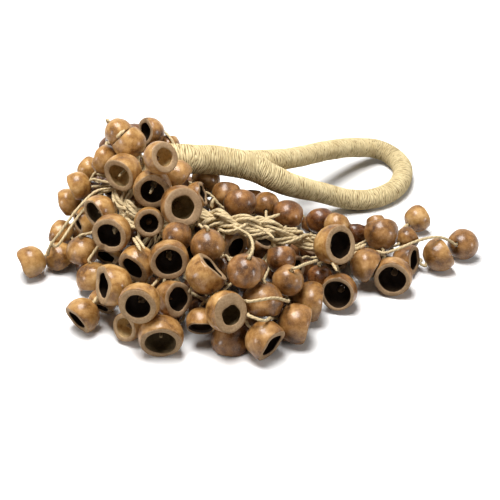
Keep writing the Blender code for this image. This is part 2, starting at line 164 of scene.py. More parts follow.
def frames(path, toward=None):
    """Tangent, side and other direction along a path. The side is square to a given direction, or
    else it is carried along the path without turning about it."""
    tangent = unit(np.gradient(path, axis=0))
    if toward is None:
        side = np.zeros_like(tangent)
        carried = np.cross(tangent[0], np.array([0.13, 0.29, 1.0]))
        for k, way in enumerate(tangent):
            carried = unit(carried - way * (carried @ way))
            side[k] = carried
    else:
        side = unit(np.cross(tangent, toward))
    return tangent, side, np.cross(tangent, side)


def rings(path, side, other, angle, radius):
    """Rings of points around a path: at each angle, a radius out by its cosine and its sine along
    the two directions across the path."""
    offset = side[:, None, :] * np.cos(angle)[None, :, None]
    offset = offset + other[:, None, :] * np.sin(angle)[None, :, None]
    return path[:, None, :] + offset * radius[..., None]


def ripple(seed, *phases, waves=5, low=1, high=4):
    """Smooth unevenness: a sum of sines, each with its own whole number of waves in every phase."""
    draw = np.random.default_rng(seed)
    total = 0.0
    for _ in range(waves):
        counts = draw.integers(low, high + 1, len(phases)) * draw.choice([-1, 1], len(phases))
        phase = sum(count * phase for count, phase in zip(counts, phases)) + draw.uniform(0, 2 * math.pi)
        total = total + math.sqrt(2 / waves) * np.sin(phase)
    return total


def grid_faces(rows, around, closed):
    """Corners and corner counts of the faces on a grid that is round in its second direction. Its
    ends are closed by a fan of triangles, or it is closed on itself in the first direction too."""
    here = np.arange(rows * around).reshape(rows, around)
    following = np.roll(here, -1, axis=0) if closed else here[1:]
    first = here if closed else here[:-1]
    quads = np.stack([first, np.roll(first, -1, 1), np.roll(following, -1, 1), following], -1)
    corners, counts = [quads.ravel()], [np.full(quads.size // 4, 4)]
    if not closed:
        for ring, tip, way in ((here[0], rows * around, -1), (here[-1], rows * around + 1, 1)):
            fan = np.stack([ring, np.roll(ring, -1), np.full(around, tip)], -1)
            corners.append(fan[:, ::way].ravel())
            counts.append(np.full(around, 3))
    return np.concatenate(corners), np.concatenate(counts)


def add_cord_map(mesh, chart, corners):
    """A map for a tube's faces: turns around it and millimetres along it."""
    around, run = chart
    table = np.zeros((len(corners), 2))
    u = np.broadcast_to(around[None, :], (len(run) - 1, len(around)))
    v = np.broadcast_to(run[:, None], (len(run), len(around)))
    step = around[1] - around[0]
    table[:u.size * 4] = np.stack([
        np.stack([u, u + step, u + step, u], -1),
        np.stack([v[:-1], v[:-1], v[1:], v[1:]], -1)], -1).reshape(-1, 2)
    table[u.size * 4:, 1] = np.repeat([run[0], run[-1]], 3 * len(around))
    layer = mesh.uv_layers.new(name="cord_map")
    layer.data.foreach_set("uv", table.astype(np.float32).ravel())


def mesh_piece(name, grid, material, slot, closed=False, chart=None, node=(), **values):
    """A piece from a grid of points, with a number at each point for every named value."""
    rows, around = grid.shape[:2]
    corners, counts = grid_faces(rows, around, closed)
    points = grid.reshape(-1, 3)
    if not closed:
        points = np.concatenate([points, grid[:1].mean(1), grid[-1:].mean(1)])
    mesh = bpy.data.meshes.new(name)
    mesh.vertices.add(len(points))
    mesh.vertices.foreach_set("co", points.astype(np.float32).ravel())
    mesh.loops.add(len(corners))
    mesh.loops.foreach_set("vertex_index", corners.astype(np.int32))
    mesh.polygons.add(len(counts))
    starts = np.concatenate([[0], np.cumsum(counts)[:-1]])
    mesh.polygons.foreach_set("loop_start", starts.astype(np.int32))
    mesh.update(calc_edges=True)
    if chart is not None:
        add_cord_map(mesh, chart, corners)
    for label, value in values.items():
        value = np.broadcast_to(np.asarray(value, np.float32), (rows, around)).ravel()
        value = np.concatenate([value, np.full(len(points) - len(value), value[-1])])
        mesh.attributes.new(label, "FLOAT", "POINT").data.foreach_set("value", value.astype(np.float32))
    mesh.shade_smooth()
    mesh.materials.append(material)
    piece = bpy.data.objects.new(name, mesh)
    bpy.context.scene.collection.objects.link(piece)
    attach(piece, "root")
    if node:
        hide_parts(*node)
    return piece


class Number:
    """A value in a shader. Arithmetic on it adds Math nodes."""

    def __init__(self, shader, socket):
        self.shader, self.socket = shader, socket

    def math(self, operation, *others):
        """A Math node on this value and others."""
        inputs = dict(enumerate([self, *others]))
        return self.shader.node("ShaderNodeMath", {"operation": operation}, inputs)

    def __add__(self, other):
        return self.math("ADD", other)

    def __mul__(self, other):
        return self.math("MULTIPLY", other)

    def __sub__(self, other):
        return self.math("SUBTRACT", other)

    def __truediv__(self, other):
        return self.math("DIVIDE", other)

    def __rsub__(self, other):
        return self * -1.0 + other

    __radd__, __rmul__ = __add__, __mul__

    def rise(self, low, high):
        """0 below low, 1 above high, and a straight slope between."""
        return ((self - low) / (high - low)).math("MINIMUM", 1.0).math("MAXIMUM", 0.0)


class Shader:
    """A tree of nodes. node() adds any node, and the other methods are the nodes used most."""

    def __init__(self, tree):
        self.tree = tree

    def put(self, socket, value):
        """Link a value in the shader to a socket, or set the socket to a plain value."""
        if isinstance(value, Number):
            self.tree.links.new(value.socket, socket)
        else:
            socket.default_value = value

    def node(self, kind, settings=None, inputs=None, output=0):
        """A node by its type, its settings, its inputs by name or place, and the output to take."""
        made = self.tree.nodes.new(kind)
        for name, value in (settings or {}).items():
            if name == "stops":
                while len(made.color_ramp.elements) < len(value):
                    made.color_ramp.elements.new(0.5)
                for element, (position, colour) in zip(made.color_ramp.elements, value):
                    element.position, element.color = position, (*colour, 1.0)
            else:
                setattr(made, name, value)
        for name, value in (inputs or {}).items():
            self.put(made.inputs[name], value)
        return Number(self, made.outputs[output])

    def attribute(self, name):
        return self.node("ShaderNodeAttribute", {"attribute_name": name}, output="Fac")

    def where(self):
        return self.node("ShaderNodeTexCoord", output="Object")

    def noise(self, where, scale, detail=3.0, roughness=0.55):
        inputs = {"Vector": where, "Scale": scale, "Detail": detail, "Roughness": roughness}
        return self.node("ShaderNodeTexNoise", {}, inputs, "Fac")

    def mix(self, factor, first, second):
        return self.node("ShaderNodeMix", {"data_type": "RGBA"}, {0: factor, 6: first, 7: second}, 2)

    def ramp(self, factor, *stops):
        return self.node("ShaderNodeValToRGB", {"stops": stops}, {0: factor})

    def seen(self):
        """1 for what the camera sees, also in gloss or through glass, and 0 for light that falls."""
        either = self.node("ShaderNodeLightPath", output="Is Camera Ray")
        for kind in ("Is Glossy Ray", "Is Transmission Ray"):
            either = either.math("MAXIMUM", self.node("ShaderNodeLightPath", output=kind))
        return either


class Finish(Shader):
    """A material on one Principled surface."""

    def __init__(self, name, **surface):
        self.material = bpy.data.materials.new(name)
        self.material.use_nodes = True
        super().__init__(self.material.node_tree)
        self.surface = self.tree.nodes["Principled BSDF"]
        for socket, value in surface.items():
            self.set(socket.replace("_", " "), value)

    def set(self, name, value):
        self.put(self.surface.inputs[name], value)

    def bump(self, height, strength, distance):
        inputs = {"Height": height, "Strength": strength, "Distance": distance}
        self.set("Normal", self.node("ShaderNodeBump", {}, inputs))


def nutshell_finish():
    """Polished shell outside, sanded grey-tan on the cut, rough inside, where a near-black colour is
    painted shade of the hollow. zone runs from 0 outside over 1 on the cut to 2 inside; tint goes from
    golden at 0 to red brown at 1, and above that it paints shade on shells deep in the heap; the per-shell
    cavity light paints light into the hollow as a lit tan."""
    f = Finish("nutshell_polished", Coat_Roughness=0.20, Specular_IOR_Level=0.15)
    where = f.where()
    zone, tint, glow = f.attribute("zone"), f.attribute("tint"), f.attribute("glow")
    cloud = f.noise(where, 95.0, 4.0)
    blotch = f.noise(where, 260.0, 5.0, 0.65)
    grain = f.noise(where, 700.0, 4.0, 0.7)
    speckle = f.noise(where, 1500.0, 3.0, 0.7)
    on_cut = zone.rise(0.35, 0.75)

    mottle = cloud * 0.7 + blotch * 0.3
    golden = f.ramp(mottle, (0.36, (0.120, 0.047, 0.010)), (0.46, (0.30, 0.142, 0.034)),
                    (0.56, (0.46, 0.258, 0.084)), (0.68, (0.66, 0.43, 0.19)))
    ruddy = f.ramp(mottle, (0.36, (0.026, 0.007, 0.0018)), (0.46, (0.092, 0.028, 0.0058)),
                   (0.56, (0.20, 0.072, 0.0155)), (0.68, (0.37, 0.170, 0.054)))
    outside = f.mix(tint, golden, ruddy)
    outside = f.mix(speckle.rise(0.56, 0.66) * 0.35, outside, (0.52, 0.36, 0.21, 1.0))

    cut = f.ramp(grain * 0.6 + cloud * 0.4, (0.30, (0.19, 0.112, 0.052)), (0.50, (0.33, 0.214, 0.113)),
                 (0.70, (0.47, 0.335, 0.20)))
    cut = f.mix(tint * 0.35, cut, (0.26, 0.17, 0.115, 1.0))
    # The hollow: deep is painted shade, near black, and lit is painted light, a tan; the per-shell cavity
    # light mixes them
    deep = f.ramp(blotch, (0.3, (0.010, 0.0055, 0.003)), (0.7, (0.035, 0.019, 0.009)))
    lit = f.ramp(blotch, (0.3, (0.42, 0.26, 0.10)), (0.7, (0.88, 0.66, 0.34)))

    skin = f.mix(on_cut, outside, cut)
    # Painted shade: shells deep in the heap, with tint above 1, are darkened toward near black
    skin = f.mix(tint.rise(1.0, 1.2) * 0.40, skin, (0.030, 0.012, 0.005, 1.0))
    f.set("Base Color", f.mix(zone.rise(1.35, 1.8), skin, f.mix(glow, deep, lit)))
    f.set("Roughness", cloud * 0.16 + 0.30 + on_cut * 0.26)
    f.set("Coat Weight", 0.44 - on_cut * 0.44)
    f.bump(blotch * 0.6 + speckle * 0.25 + grain * zone.rise(0.4, 1.8), 0.30, 0.0004)
    return f.material


def twine_finish(name, pale, shade, wound=False):
    """Twisted plant fibre. The map's first number runs around the cord in turns and its second along
    it in millimetres. The two plies of a string are grooves along it; of wound twine every row ends
    in a groove, where the row number less the turns is whole. Fibres lie along them, and the grooves
    are darkened with painted shade."""
    f = Finish(name, Roughness=0.88, Specular_IOR_Level=0.2)
    chart = f.node("ShaderNodeUVMap", {"uv_map": "cord_map"})
    around = f.node("ShaderNodeSeparateXYZ", {}, {0: chart}, 0)
    run = f.node("ShaderNodeSeparateXYZ", {}, {0: chart}, 1)
    if wound:
        twist = f.attribute("row_number") - around + 0.5
        lengthwise = (twist * 3.4, around * 9.0, twist * 0.13)
    else:
        twist = (around + run / (PLY_LENGTH * 1000)) * float(PLIES)
        turn = around * (2 * math.pi)
        lengthwise = (turn.math("COSINE") * 1.6, turn.math("SINE") * 1.6, run * 0.22)
    fibre = f.noise(f.node("ShaderNodeCombineXYZ", {}, dict(enumerate(lengthwise))), 2.2, 5.0, 0.7)
    cloud = f.noise(f.where(), 120.0, 3.0)
    groove = (twist * (2 * math.pi)).math("COSINE") * -0.5 + 0.5

    between = tuple(0.35 * s + 0.65 * p for s, p in zip(shade, pale))
    straw = f.ramp(fibre * 0.65 + cloud * 0.35, (0.28, shade), (0.50, between), (0.68, pale))
    # Painted shade: the grooves are darkened
    dark = (shade[0] * 0.45, shade[1] * 0.4, shade[2] * 0.3, 1.0)
    straw = f.mix(groove.rise(0.55, 1.0) * (0.8 if wound else 0.4), straw, dark)
    # The tint paints shade, toward dark brown, on string inside a shell
    f.set("Base Color", f.mix(f.attribute("tint"), straw, (0.16, 0.095, 0.045, 1.0)))
    f.bump(fibre * 0.8 - groove * 0.5, 0.45, 0.0004)
    return f.material


def nut_grid(radius, number, mouth=MOUTH, corners=0, notch=None, lean=(0.0, 0.0)):
    """A half shell about its own axis, as profile rows around it: up the dome from the bored crown to
    the cut, in over the cut, and down the hollow. Radius and height of each row are those of two
    balls inside one another; low ripples around and along the dome make it uneven."""
    around = np.linspace(0, 2 * math.pi, NUT_SIDES, endpoint=False)[None, :]
    cut = radius * RIM_HEIGHT
    # The dome, from its crown to just short of the cut
    polar = np.linspace(math.asin(HOLE_RADIUS / radius), math.acos(-RIM_HEIGHT) - 0.03, DOME_ROWS)[:, None]
    swell = 1 + 0.016 * ripple(number, around, high=3) * np.sin(polar) ** 2
    swell = swell + 0.010 * ripple(number + 500, around, polar * 2) * np.sin(polar)
    swell = swell * (1 - 0.035 * np.cos(polar * 2) ** 2 * (number % 3 - 0.6))
    dome_r, dome_z = radius * np.sin(polar) * swell, -radius * np.cos(polar) * (swell + 0 * around)

    # The opening, round or with soft corners, and the level of the cut, with or without a notch
    opening = mouth * radius * (1 + 0.022 * ripple(number + 90, around, high=5))
    if corners:
        slice_angle = 2 * math.pi / corners
        from_middle = (around + number) % slice_angle - slice_angle / 2
        opening = opening * (0.5 + 0.5 * math.cos(slice_angle / 2) / np.cos(from_middle))
    level = cut + 0.00022 * ripple(number + 7, around, high=5)
    if notch is not None:
        spread = np.angle(np.exp(1j * (around - notch)))
        level = level - NOTCH_DEPTH * np.exp(-(spread / NOTCH_ANGLE) ** 2)
    share = np.array([0.02, 0.08, 0.3, 0.55, 0.8, 0.95])[:, None]
    cut_r = dome_r[-1:] * (1 - share) + opening * share
    cut_z = level + np.array([-0.00035, 0.0, 0.00008, 0.00005, 0.0, -0.00018])[:, None]
    lip_r = np.stack([opening[0], opening[0] * 1.005], 0)
    lip_z = np.stack([level[0] - 0.0006, level[0] - 0.0013], 0)

    # The hollow, down to the hole in the crown
    inner = radius - WALL
    turn = np.linspace(math.asin(min(0.97, (cut - 0.0016) / inner)), -math.acos(HOLE_RADIUS / inner),
                       HOLLOW_ROWS)[:, None]
    hollow = inner * (1 + 0.02 * ripple(number + 40, around, turn * 2))
    hollow_r, hollow_z = hollow * np.cos(turn), hollow * np.sin(turn) + 0 * around
    hollow_r[-1], hollow_z[-1] = HOLE_RADIUS, -math.sqrt(inner ** 2 - HOLE_RADIUS ** 2)

    dome_z, hollow_z = np.minimum(dome_z, level - 0.0002), np.minimum(hollow_z, level - 0.0015)
    r = np.concatenate([dome_r, cut_r, lip_r, hollow_r])
    z = np.concatenate([dome_z, cut_z, lip_z, hollow_z])
    zone = np.concatenate([np.zeros(DOME_ROWS - 1), [0.25, 0.6], np.ones(4), [1.1], [1.45, 1.9],
                           np.full(HOLLOW_ROWS, 2.0)])
    local = np.stack([r * np.cos(around), r * np.sin(around), z + 0 * r], -1)
    shift = np.clip((zone[:, None] - 0.6) / 0.9, 0, 1)[..., None] * np.array([*lean, 0.0]) * radius
    return local + shift * np.clip(z / cut, 0, 1)[..., None], zone[:, None]


def nut_axes(face, spin):
    """Two directions across a face, the first turned from the picture's right."""
    right = unit(RIGHT + UPWARD * 1e-3 - face * (RIGHT @ face))
    above = np.cross(face, right)
    return right * math.cos(spin) + above * math.sin(spin), above * math.cos(spin) - right * math.sin(spin)


def cad_nut(node):
    """Middle, open side and radius of a shell: its cut is the largest flat of its mesh."""
    mesh = nodes[node].data
    corners = np.zeros(len(mesh.loops), np.int32)
    mesh.loops.foreach_get("vertex_index", corners)
    points = np.zeros(len(mesh.vertices) * 3, np.float32)
    mesh.vertices.foreach_get("co", points)
    triangles = points.reshape(-1, 3).astype(float)[corners.reshape(-1, 3)]
    crossed = np.cross(triangles[:, 1] - triangles[:, 0], triangles[:, 2] - triangles[:, 0])
    area = np.linalg.norm(crossed, axis=1)
    flats, index = np.unique(np.round(crossed / area[:, None], 2), axis=0, return_inverse=True)
    chosen = index.ravel() == np.bincount(index.ravel(), area).argmax()
    face = unit(crossed[chosen].sum(0))
    middle = (triangles[chosen].mean(1) * area[chosen, None]).sum(0) / area[chosen].sum()
    rim = np.linalg.norm(triangles[chosen].reshape(-1, 3) - middle, axis=1).max()
    radius = rim / math.sqrt(1 - RIM_HEIGHT ** 2)
    return middle - face * radius * RIM_HEIGHT, face, radius


def reach(way, face, radius):
    """How far cut balls reach along directions from their middles."""
    cut = radius * RIM_HEIGHT
    lean = np.clip((way * face).sum(-1), -1, 1)
    over = cut * lean + np.sqrt(radius ** 2 - cut ** 2) * np.sqrt(1 - lean ** 2)
    return np.where(lean * radius <= cut, radius, over)


def room_between(place_a, face_a, radius_a, place_b, face_b, radius_b):
    """The widest gap between two cut balls along the line of their middles or either face."""
    between = place_b - place_a
    best = np.full(between.shape[:-1], -1.0)
    for way in (unit(between), face_a + 0 * between, -face_b + 0 * between):
        gap = (between * way).sum(-1) - reach(way, face_a, radius_a) - reach(-way, face_b, radius_b)
        best = np.where(np.linalg.norm(way, axis=-1) > 0.5, np.maximum(best, gap), best)
    return best


def joined(shells, more):
    """Arrays of middles, faces and radii, with more shells behind them."""
    return tuple(np.concatenate([a, np.array([shell[k] for shell in more]).reshape(-1, *np.shape(a)[1:])])
                 for k, a in enumerate(shells))


def touches(spot, face, radius, everyone, tubes):
    """Whether a cut ball comes too near to other ones or to a tube's balls."""
    if room_between(spot, face, radius, *everyone).min() < CLEAR:
        return True
    return (np.linalg.norm(tubes[0] - spot, axis=1) - tubes[1]).min() < radius + CLEAR


def slip_clear(spots, faces, radii, fixed, tubes):
    """Slide more shells away from the eye along its own lines until they clear the fixed ones, the
    tubes and each other."""
    placed = []
    for spot, face, radius in zip(spots, faces, radii):
        ray = unit(spot + LINE)
        for step in SLIDES:
            trial = spot + ray * step
            trial[2] = max(trial[2], reach(-UP, face, radius))
            if not touches(trial, face, radius, joined(fixed, placed), tubes):
                placed.append((trial, face, radius))
                break
    return placed


def within(outline, column, row):
    """Whether picture points lie inside an outline, by how often a line to the right crosses it."""
    c, r = np.asarray(outline, float).T
    following_c, following_r = np.roll(c, -1), np.roll(r, -1)
    column, row = np.asarray(column)[..., None], np.asarray(row)[..., None]
    spans = (r > row) != (following_r > row)
    climb = np.where(following_r == r, 1e-9, following_r - r)
    crossing = c + (row - r) / climb * (following_c - c)
    return (spans & (column < crossing)).sum(-1) % 2 == 1


# The heap's outline in the picture, which deeper shells stay inside
HEAP = (
    (104, 124), (120, 119), (152, 119), (166, 134), (176, 150), (190, 171), (214, 178), (240, 188),
    (262, 193), (285, 200), (302, 207), (330, 210), (346, 219), (362, 224), (380, 217), (398, 228),
    (412, 246), (410, 268), (394, 290), (372, 281), (352, 300), (336, 311), (317, 320), (300, 333),
    (270, 358), (228, 355), (205, 336), (178, 352), (145, 350), (124, 336), (88, 326), (70, 310),
    (92, 292), (78, 284), (74, 270), (58, 262), (52, 244), (54, 230), (66, 216), (60, 200), (68, 182),
    (84, 166), (98, 146),
)
HEAP_TRIES = 30000
HEAP_MOST = 95           # shells in one round
HEAP_LAYER = 0.012
HEAP_NEIGHBOUR = 0.009   # farthest that the second nearest shell may be
BEHIND = 0.003           # least depth behind what covers a shell


def fill_heap(fixed, tubes, seed, small, large):
    """Shells deeper in the heap, where the eye sees them only between those in front: seeded tries
    within the outline of the heap, behind what they would cover, close to the rest, lowest first.
    Their radii are shares of a shell's width."""
    draw = np.random.default_rng(seed)
    column, row, depth = picture(np.concatenate([fixed[0], tubes[0]]))
    size = np.concatenate([fixed[2], tubes[1]]) * PICTURE_SCALE / depth
    tries = np.stack([draw.uniform(-0.165, 0.125, HEAP_TRIES), draw.uniform(-0.135, 0.085, HEAP_TRIES),
                      draw.uniform(0.0, 0.085, HEAP_TRIES)], -1)
    tries = tries[within(HEAP, *picture(tries + 0.006 * UP)[:2])]
    rim = np.linspace(0, 2 * math.pi, 16, endpoint=False)
    placed = []
    for spot in tries[np.argsort(np.round(tries[:, 2] / HEAP_LAYER), kind="stable")]:
        radius = draw.uniform(small, large) * NUT_WIDTH
        face = unit(draw.normal(size=3) + np.array([0.0, 0.3, -0.3]))
        spot = spot + UP * reach(-UP, face, radius)
        if len(placed) >= HEAP_MOST:
            break
        c, r, d = picture(spot)
        s = radius * PICTURE_SCALE / d
        covered = np.hypot(column - c, row - r) < size + s - 1
        if (depth[covered] > d - BEHIND).any():
            continue
        if not within(HEAP, c + (s + 0.5) * np.cos(rim), r + (s + 0.5) * np.sin(rim)).all():
            continue
        everyone = joined(fixed, placed)
        if touches(spot, face, radius, everyone, tubes):
            continue
        if np.sort(room_between(spot, face, radius, *everyone))[1] <= HEAP_NEIGHBOUR:
            placed.append((spot, face, radius))
    return placed


def push_out(points, shells, room):
    """How far points have to move out of cut balls, and which way."""
    places, faces, radii = shells
    apart = points[:, None, :] - places[None]
    span = np.linalg.norm(apart, axis=-1)
    out_of_dome = span - radii[None]
    out_of_cut = (apart * faces[None]).sum(-1) - radii[None] * RIM_HEIGHT
    by_cut = out_of_cut > out_of_dome
    way = np.where(by_cut[..., None], faces[None], apart / np.maximum(span, 1e-9)[..., None])
    return np.clip(room - np.where(by_cut, out_of_cut, out_of_dome), 0, 0.003), way


def lead(points, shells, slack):
    """A cord's way through given points, loosened: it is drawn smooth, pushed out of every shell and
    off the surface, and sags by its slack. Its first point and last two stay. Also how far it still
    reaches into a shell."""
    path = smooth(points, ROUTE_STEP)
    anchor = path.copy()
    anchor[:, 2] -= slack * np.sin(np.linspace(0, math.pi, len(path)))
    start, end = path[:1].copy(), path[-2:].copy()
    room = STRING_WIDTH / 2 + STRING_ROOM
    for ease in np.linspace(1, 0, 100):
        path[1:-1] += 0.35 * ease * ((path[:-2] + path[2:]) / 2 - path[1:-1])
        path[1:-1] += 0.2 * ease * (anchor[1:-1] - path[1:-1])
        push, way = push_out(path, shells, room)
        path += (way * push[..., None]).sum(1) * 0.7
        path[:, 2] = np.maximum(path[:, 2], STRING_WIDTH / 2 + 0.0003)
        path[:1], path[-2:] = start, end
    push, way = push_out(path[1:-2], shells, room)
    return path, push.max() if push.size else 0.0


# Ways that a string may take, best first: trunk points back from the nearest, and how far the
# string's middle bows deeper and across
BOWS = (
    (8, 0.010, 0), (8, 0, 0), (-14, 0.010, 0), (30, 0.010, 0), (8, 0.022, 0), (8, 0.010, 0.012),
    (8, 0.010, -0.012), (-14, 0.010, 0.012), (30, 0.010, -0.012), (8, 0.0, 0.02), (8, 0.0, -0.02),
)
NEAR_SHELLS = 0.030      # from a string's straight way, within which shells can bend it
IN_TRUNK = 0.0032        # from the trunk's middle to a string inside it
OUT_OF_TRUNK = 0.0040
BEHIND_TRUNK = 0.0045
BEFORE_CROWN = 0.0028    # where a string's way has its last point but one
PAST_CROWN = 0.0008      # and its last


def string_way(middle, face, radius, shells, trunk, via, seed, tries):
    """A string's way from inside the trunk, along it for a while, then through given points, or
    else by the way that is clear and short and shows least, to the crown of its shell."""
    draw = np.random.default_rng(seed)
    crown = middle - face * radius
    ends = [crown - face * BEFORE_CROWN, crown + face * PAST_CROWN]
    goal = via[0] if len(via) else ends[0]
    nearest = int(np.linalg.norm(trunk - goal, axis=1).argmin())
    slack = draw.uniform(0.001, 0.005)
    turns = unit(draw.normal(size=(2, 3))) * IN_TRUNK

    def leave(back):
        """Points inside the trunk, and the one where the string has left it."""
        leaving = int(np.clip(nearest - back, TRUNK_FREE + 6, len(trunk) - 4))
        inside = [trunk[max(TRUNK_FREE, leaving - k)] + turn for k, turn in zip((18, 8), turns)]
        out = trunk[leaving] + unit(goal - trunk[leaving]) * OUT_OF_TRUNK
        return inside, out + LINE * (0.0 if len(via) else BEHIND_TRUNK)

    inside, out = leave(BOWS[0][0])
    if len(via):
        return lead([*inside, out, *via, *ends], shells, slack * 0.5)[0]
    half_way = np.linalg.norm(out - ends[0]) / 2
    away = np.linalg.norm(shells[0] - (out + ends[0]) / 2, axis=1) - shells[2] - half_way
    near = tuple(a[away < NEAR_SHELLS] for a in shells)
    column, row, depth = picture(near[0])
    size = near[2] * PICTURE_SCALE / depth
    side = unit(np.cross(unit(ends[0] - out), LINE))
    best, best_cost = None, math.inf
    for back, deeper, across in BOWS[:tries]:
        inside, out = leave(back)
        bowed = (out + ends[0]) / 2 + LINE * deeper + side * across
        path, lack = lead([*inside, out, bowed, *ends], near, slack)
        c, r, d = picture(path)
        covered = np.hypot(column - c[:, None], row - r[:, None]) < size
        hidden = (covered & (depth < d[:, None])).any(1)
        cost = lack * 1000 + along(path)[-1] * (1 + 2.5 * (1 - hidden.mean()))
        if cost < best_cost:
            best, best_cost = path, cost
    return best


def twisted(path, radius, seed, widths):
    """A twisted cord: rings along a path whose radius swells over each ply, the plies turning once in
    every ply length. Its chart counts turns around it and millimetres along it."""
    run = along(path)
    angle = np.linspace(0, 2 * math.pi, STRING_SIDES, endpoint=False)
    tangent, side, other = frames(path)
    ply = PLIES / 2 * (angle[None, :] + 2 * math.pi * run[:, None] / PLY_LENGTH)
    swell = 1 - PLY_DEPTH + PLY_DEPTH * np.abs(np.cos(ply))
    swell = swell * (1 + 0.05 * ripple(seed, run * 300)[:, None])
    grid = rings(path, side, other, angle, radius * (swell * np.reshape(widths, (-1, 1))))
    return grid, (angle / (2 * math.pi), run * 1000)


def string_piece(name, route, middle, face, radius, tail, seed, painted_shade):
    """A string that ends inside the crown in a knot and a short tail. Its width swells to the knot's
    by e to minus the fourth power of the distance from the knot. What lies inside the shell is darkened
    with painted shade, by the given amount."""
    inner = math.sqrt((radius - WALL) ** 2 - HOLE_RADIUS ** 2)
    knot_at = middle - face * (inner - KNOT_ROOM - KNOT_WIDTH / 2)
    droop = unit(np.random.default_rng(seed).normal(size=3)) * 0.0016 - UP * 0.001
    inside = [knot_at - face * 0.0012, knot_at + face * 0.0015,
              knot_at + face * (0.002 + tail * 0.5) + droop * 0.4, knot_at + face * (0.002 + tail) + droop]
    path = smooth(np.concatenate([route, inside]), STRING_STEP)
    run = along(path)
    from_knot = run - run[np.linalg.norm(path - knot_at, axis=1).argmin()]
    knot = np.exp(-(from_knot / KNOT_HALF) ** 4)
    widths = 1 + knot * (KNOT_WIDTH / STRING_WIDTH - 1) * (0.90 + 0.07 * np.sin(from_knot * 2800))
    widths = widths * np.clip((run[-1] - run) / 0.0012 + 0.45, 0, 1)
    grid, chart = twisted(path, STRING_WIDTH / 2, seed, widths)
    # Painted shade on the string and knot inside the shell's hollow
    shade = painted_shade * np.clip(((path - middle) @ face + radius) / 0.002, 0, 1)[:, None]
    shade = shade * (np.linalg.norm(path - middle, axis=1) < radius)[:, None]
    return mesh_piece(name, grid, string_look, "cord", chart=chart, tint=shade), path


# The view
camera = bpy.data.objects.new("camera", bpy.data.cameras.new("camera"))
camera.location = -LINE
camera.rotation_euler = (math.pi / 2 - VIEW_DOWN, 0, 0)
camera.data.sensor_width = SENSOR_WIDTH
camera.data.lens = SENSOR_WIDTH * PICTURE_SCALE / PICTURE_SIDE
bpy.context.scene.collection.objects.link(camera)
bpy.context.scene.camera = camera
bpy.context.scene.view_settings.view_transform = "Standard"


def soft_light(name, location, width, height, watts):
    """A softbox that faces the middle of the heap."""
    lamp = bpy.data.lights.new(name, "AREA")
    lamp.shape, lamp.size, lamp.size_y, lamp.energy = "RECTANGLE", width, height, watts
    box = bpy.data.objects.new(name, lamp)
    x, y, z = unit(np.array(location) - 0.03 * UP)
    box.location = location
    box.rotation_euler = (math.acos(z), 0.0, math.atan2(x, -y))
    bpy.context.scene.collection.objects.link(box)


soft_light("overhead", (-0.18, -0.06, 1.20), 0.80, 0.56, 26.5)
soft_light("left_box", (-0.95, -0.62, 0.30), 0.22, 0.34, 3.6)
soft_light("right_box", (0.98, -0.52, 0.28), 0.22, 0.34, 3.6)

# A dim room that looks white
world = bpy.data.worlds.new("studio")
world.use_nodes = True
bpy.context.scene.world = world
world.node_tree.nodes.remove(world.node_tree.nodes["Background"])
room = Shader(world.node_tree)
dim = room.node("ShaderNodeBackground", {}, {"Color": (1.0, 0.98, 0.96, 1.0), "Strength": 0.07})
bright = room.node("ShaderNodeBackground", {}, {"Color": WHITE, "Strength": 1.0})
room.put(world.node_tree.nodes["World Output"].inputs["Surface"],
         room.node("ShaderNodeMixShader", {}, {0: room.seen(), 1: dim, 2: bright}))

# A pale floor, which fades to pure white away from the heap
FLOOR_REACH = 8.0
floor_look = Finish("floor", Roughness=0.9, Specular_IOR_Level=0.0, Emission_Strength=1.0)
seen = floor_look.seen()
from_middle = floor_look.node("ShaderNodeVectorMath", {"operation": "LENGTH"},
                              {0: floor_look.where()}, "Value")
glare = seen * (from_middle.rise(0.14, 0.50) * 0.36 + from_middle.rise(0.5, 2.5) * 0.6)
floor_look.set("Base Color", floor_look.mix(seen, (0.42, 0.41, 0.40, 1.0), (0.95, 0.94, 0.93, 1.0)))
floor_look.set("Emission Color", floor_look.mix(glare, BLACK, WHITE))
floor_mesh = bpy.data.meshes.new("floor")
floor_corners = [(x * FLOOR_REACH, y * FLOOR_REACH, 0) for x, y in ((-1, -1), (1, -1), (1, 1), (-1, 1))]
floor_mesh.from_pydata(floor_corners, [], [(0, 1, 2, 3)])
floor_mesh.materials.append(floor_look.material)
floor = bpy.data.objects.new("floor", floor_mesh)
bpy.context.scene.collection.objects.link(floor)

# Routes, each point a column, a row and a lift
STEM = ((166, 158, 73), (190, 159, 70), (212, 160, 66), (236, 163, 61))
LOOP = (
    (256, 169, 55), (270, 176, 49), (285, 183, 41), (300, 187.5, 33), (315, 191, 25), (330, 195, 18),
    (345, 198.5, 12), (358, 200, 9), (372, 199, 8), (385, 195, 8), (396, 188, 8), (402, 178, 8),
    (402, 168, 8), (396, 159.5, 8.5), (386, 152.5, 10), (374, 148.5, 13), (360, 147.5, 18),
    (345, 148, 24), (330, 150, 30), (315, 153, 36), (300, 156.5, 42), (285, 159, 48), (270, 160, 53),
    (254, 160.5, 57), (238, 161, 61),
)
TAPER = (STEM[3], LOOP[4])
TRUNK = (
    (190, 159, 70), (166, 158, 72), (152, 163, 67), (138, 172, 62), (126, 188, 55), (122, 204, 50),
    (136, 217, 46), (160, 221, 43), (185, 220, 42), (205, 218, 47), (228, 223, 52), (250, 227, 51),
    (275, 231, 47), (300, 238, 40), (320, 244, 31), (338, 250, 25), (352, 253, 21),
)
STEM_MOUTH = TRUNK[2]

